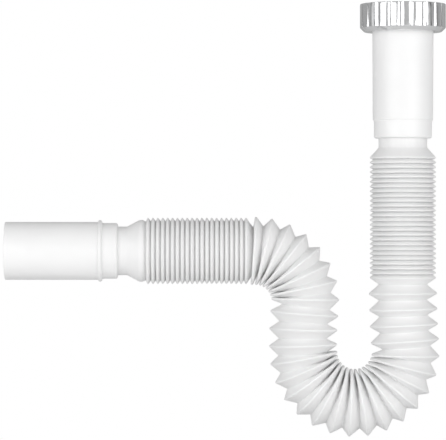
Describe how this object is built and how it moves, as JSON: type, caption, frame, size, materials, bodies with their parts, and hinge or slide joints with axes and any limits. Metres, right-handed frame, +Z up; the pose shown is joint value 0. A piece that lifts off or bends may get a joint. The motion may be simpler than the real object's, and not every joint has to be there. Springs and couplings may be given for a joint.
{
  "type": "flexible sink trap",
  "caption": "Flexible waste trap for a sink: a bellows hose bent into a water seal, hung from a fluted union nut, with a plain outlet spigot.",
  "frame": {"origin": "on the union nut's axis, where its thread starts below the mouth's chamfer", "axes": "+Z up along the inlet, towards the sink's waste; the outlet leaves along -X; the front of the trap faces -Y"},
  "size_m": [0.2439, 0.0474, 0.2394],
  "materials": {
    "nut_chrome": "polished",
    "washer_rubber": "matt",
    "tube_plastic": "satin",
    "hose_plastic": "satin, slightly translucent"
  },
  "bodies": {
    "inlet": {"inlet_tube": "tube_plastic", "sealing_washer": "washer_rubber"},
    "nut": {"union_nut": "nut_chrome"},
    "hose": {"bellows_hose": "hose_plastic"},
    "outlet": {"outlet_tube": "tube_plastic"}
  },
  "joints": [
    {"name": "nut_turn", "type": "hinge", "parent": "inlet", "child": "nut", "pos_m": [0, 0, 0], "axis": [0, 0, 1], "continuous": true},
    {"name": "inlet_leg_stretch", "type": "slide", "parent": "inlet", "child": "hose", "axis": [0, 0, -1], "range_m": [0, 0.159], "deforming": ["bellows_hose"]},
    {"name": "outlet_leg_stretch", "type": "slide", "parent": "hose", "child": "outlet", "axis": [-1, 0, 0], "range_m": [0, 0.127], "deforming": ["bellows_hose"]}
  ]
}
